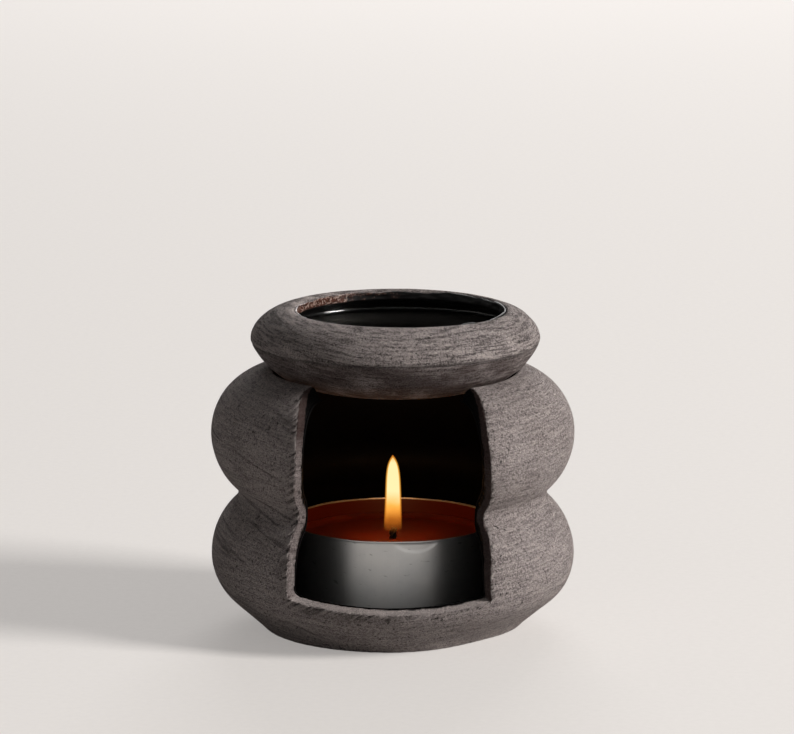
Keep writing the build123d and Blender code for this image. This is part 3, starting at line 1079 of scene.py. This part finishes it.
def makeWick():
    look = wickLook
    rows, sides = 90, 12
    waxTop = waxLook["level"]
    bm = bmesh.new()
    for strand in range(3):
        rings = []
        for k in range(rows + 1):
            z = look["foot"] + (look["top"] - look["foot"]) * k / rows
            above = max(0.0, (z - waxTop) / (look["top"] - waxTop))
            angle = 2 * pi * (z / look["turn"] + strand / 3)
            taper = 1 - 0.75 * max(0.0, (above - look["taperFrom"]) / (1 - look["taperFrom"])) ** 2
            reach = look["twist"] * taper
            centre = Vector((reach * cos(angle) + look["lean"] * above ** 2, reach * sin(angle), z))
            ring = []
            for s in range(sides):
                a = 2 * pi * s / sides
                side = Vector((cos(a), sin(a), 0)) * look["strand"] * max(0.3, taper)
                ring.append(bm.verts.new(centre + side))
            rings.append(ring)
        for low, high in zip(rings, rings[1:]):
            for s in range(sides):
                m = (s + 1) % sides
                bm.faces.new((low[s], low[m], high[m], high[s]))
        bm.faces.new(rings[0][::-1])
        bm.faces.new(rings[-1])
    mesh = bpy.data.meshes.new("candleWick")
    bm.to_mesh(mesh)
    bm.free()
    shadeSmooth(mesh)
    piece = newPiece("candleWick", mesh, wickFinish(), "candle")
    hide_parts("candle_wick")
    print("wick:", len(mesh.polygons), "faces")


makeWick()

tinLook = {"bright": colour(190, 189, 186), "dull": colour(168, 167, 164), "rolledScale": 800}


def tinFinish():
    finish, tree, shader = newFinish("sustainerTin")
    rolled = noise(tree, objectPlace(tree), tinLook["rolledScale"], 4, 0.6)
    tone = mixColours(tree, spread(tree, rolled, 0.35, 0.65), tinLook["dull"], tinLook["bright"])
    dress(tree, shader, tone, spread(tree, rolled, 0.3, 0.7, 0.28, 0.42), bump(tree, rolled, 0.1, 0.0002))
    shader.inputs["Metallic"].default_value = 1.0
    return finish


# The sustainer is under the wax; its CAD shape stays and gets a tinned finish.
nodes["wick_sustainer"].data.materials.clear()
nodes["wick_sustainer"].data.materials.append(tinFinish())

# Flame: a bright heart, an amber mantle round it and a thin orange coat that reaches down to the wick.
# Each tone and each solidity stands after its height, as a share of the flame's.
amber, orange, white = colour(240, 160, 52), colour(205, 112, 30), colour(255, 250, 206)
flameLook = {
    "foot": 24.55 * mm,
    "tip": 46.0 * mm,
    "halfWidth": 2.5 * mm,
    "lean": 0.12 * mm,
    "light": 0.014,
    "lightHeight": 34 * mm,
    "lightSize": 3.0 * mm,
    "lightTone": (1.0, 0.42, 0.1),
    "flickerScale": 260,
    "shells": {
        "flameCoat": {
            "heights": (0.0, 1.0),
            "width": 1.0,
            "strength": 1.0,
            "tones": ((0.0, colour(96, 48, 16)), (0.15, orange), (0.9, amber), (1.0, orange)),
            "solid": ((0.0, 0.02), (0.12, 0.12), (0.28, 0.24), (0.9, 0.24), (1.0, 0.5)),
        },
        "flameMantle": {
            "heights": (0.02, 0.985),
            "width": 0.92,
            "strength": 1.0,
            "tones": (
                (0.02, colour(120, 58, 18)),
                (0.14, colour(204, 110, 32)),
                (0.32, colour(244, 156, 54)),
                (0.56, colour(255, 204, 100)),
                (1.0, colour(250, 184, 74)),
            ),
            "solid": ((0.02, 0.03), (0.1, 0.2), (0.28, 0.5), (1.0, 0.5)),
        },
        "flameHeart": {
            "heights": (0.1, 0.965),
            "width": 0.78,
            "strength": 1.7,
            "tones": (
                (0.1, colour(226, 130, 38)),
                (0.36, colour(255, 192, 90)),
                (0.54, white),
                (0.9, white),
                (1.0, colour(255, 226, 140)),
            ),
            "solid": ((0.1, 0.0), (0.2, 0.05), (0.44, 1.0), (1.0, 1.0)),
        },
    },
}


def flameProfile(shell):
    look = flameLook
    low, high = shell["heights"]
    profile = []
    for k in range(49):
        t = k / 48
        width = (1 - 0.27 * t) * (1 - t ** 10) * min(1.0, (t / 0.04) ** 0.5)
        height = look["foot"] + (look["tip"] - look["foot"]) * (low + (high - low) * t)
        profile.append((look["halfWidth"] * shell["width"] * width, height))
    return profile


def flameFinish(name, shell):
    finish, tree, shader = newFinish(name)
    tree.nodes.remove(shader)
    place = objectPlace(tree)
    unrest = math(tree, "SUBTRACT", noise(tree, place, flameLook["flickerScale"], 2, 0.5), 0.5)
    flicker = times(tree, unrest, 0.1)
    height = spread(tree, alongAxis(tree, place, "Z"), flameLook["foot"], flameLook["tip"])
    along = math(tree, "ADD", height, flicker)
    ramps = []
    for stops in (shell["tones"], [(t, (v, v, v, 1.0)) for t, v in shell["solid"]]):
        ramp = tree.nodes.new("ShaderNodeValToRGB")
        link(tree, along, ramp.inputs[0])
        elements = ramp.color_ramp.elements
        elements[0].position, elements[0].color = stops[0]
        elements[1].position, elements[1].color = stops[-1]
        for where, tone in stops[1:-1]:
            elements.new(where).color = tone
        ramps.append(ramp.outputs[0])
    glow = tree.nodes.new("ShaderNodeEmission")
    glow.inputs["Strength"].default_value = shell["strength"]
    link(tree, ramps[0], glow.inputs["Color"])
    clear = tree.nodes.new("ShaderNodeBsdfTransparent")
    mix = tree.nodes.new("ShaderNodeMixShader")
    for k, source in enumerate((ramps[1], clear.outputs[0], glow.outputs[0])):
        link(tree, source, mix.inputs[k])
    output = next(n for n in tree.nodes if n.type == "OUTPUT_MATERIAL")
    link(tree, mix.outputs[0], output.inputs["Surface"])
    return finish


def makeFlame():
    look = flameLook
    for name, shell in look["shells"].items():
        mesh = turnedMesh(name, flameProfile(shell), 48)
        points = readPoints(mesh)
        t = (points[:, 2] - look["foot"]) / (look["tip"] - look["foot"])
        points[:, 0] += look["lean"] * np.sin(3.0 * t)
        writePoints(mesh, points)
        piece = newPiece(name, mesh, flameFinish(name, shell), "candle")
        piece.visible_shadow = False  # so that the lamp inside shines through
    lampData = bpy.data.lights.new("flameLight", "POINT")
    lampData.energy = look["light"]
    lampData.color = look["lightTone"]
    lampData.shadow_soft_size = look["lightSize"]
    lamp = bpy.data.objects.new("flameLight", lampData)
    lamp.location = (0, 0, look["lightHeight"])
    scene.collection.objects.link(lamp)
    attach(lamp, "candle")
    print("flame made")


makeFlame()

# Floor and light: a pale studio, with the key low on the right. A lamp has its power, place, size and tone.
studioLook = {
    "floor": colour(192, 188, 185),
    "floorDapple": colour(186, 182, 179),
    "floorRadius": 4.0,
    "floorGlow": 0.62,
    "air": colour(226, 224, 222),
    "airStrength": 0.12,
    "airSeen": 0.85,
    "aim": (0, 0, 0.04),
    "lamps": {
        "key": (126.0, (2.64, -0.88, 1.32), 0.9, (1.0, 0.985, 0.96)),
        "fill": (2.8, (-0.42, -1.45, 0.4), 2.7, (0.97, 0.985, 1.0)),
        "back": (20.0, (0.2, 2.2, 1.1), 1.2, (1.0, 0.995, 0.99)),
    },
}


# 1 where the eye, a gloss or clear glass looks at a thing, 0 where it only lights others
def seenShare(tree):
    path = tree.nodes.new("ShaderNodeLightPath")
    seen = math(tree, "ADD", path.outputs["Is Camera Ray"], path.outputs["Is Glossy Ray"])
    return math(tree, "ADD", seen, path.outputs["Is Transmission Ray"], clamp=True)


def makeStudio():
    look = studioLook
    bm = bmesh.new()
    bmesh.ops.create_circle(bm, cap_ends=True, segments=96, radius=look["floorRadius"])
    mesh = bpy.data.meshes.new("floor")
    bm.to_mesh(mesh)
    bm.free()
    floor = bpy.data.objects.new("floor", mesh)
    scene.collection.objects.link(floor)
    finish, tree, shader = newFinish("floorPaint")
    dapple = noise(tree, objectPlace(tree), 500, 3, 0.6)
    paint = mixColours(tree, dapple, look["floor"], look["floorDapple"])
    link(tree, paint, shader.inputs["Base Color"])
    link(tree, paint, shader.inputs["Emission Color"])
    link(tree, times(tree, seenShare(tree), look["floorGlow"]), shader.inputs["Emission Strength"])
    shader.inputs["Roughness"].default_value = 0.9
    mesh.materials.append(finish)
    floor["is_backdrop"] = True
    for name, (power, where, size, tone) in look["lamps"].items():
        data = bpy.data.lights.new(name, "AREA")
        data.shape = "SQUARE"
        data.size = size
        data.energy = power
        data.color = tone
        lamp = bpy.data.objects.new(name, data)
        lamp.location = where
        lamp.rotation_euler = (Vector(look["aim"]) - Vector(where)).to_track_quat("-Z", "Y").to_euler()
        scene.collection.objects.link(lamp)
    world = bpy.data.worlds.new("studioAir")
    scene.world = world
    world.use_nodes = True
    tree = world.node_tree
    background = tree.nodes["Background"]
    background.inputs["Color"].default_value = look["air"]
    strength = spread(tree, seenShare(tree), 0.0, 1.0, look["airStrength"], look["airSeen"])
    link(tree, strength, background.inputs["Strength"])
    scene.view_settings.view_transform = "Standard"
    print("studio lit")


makeStudio()

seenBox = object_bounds()
for name, box in (("cad box", cadBox), ("visual box", seenBox)):
    print(name, [round(x * 1000, 2) for v in box for x in v])
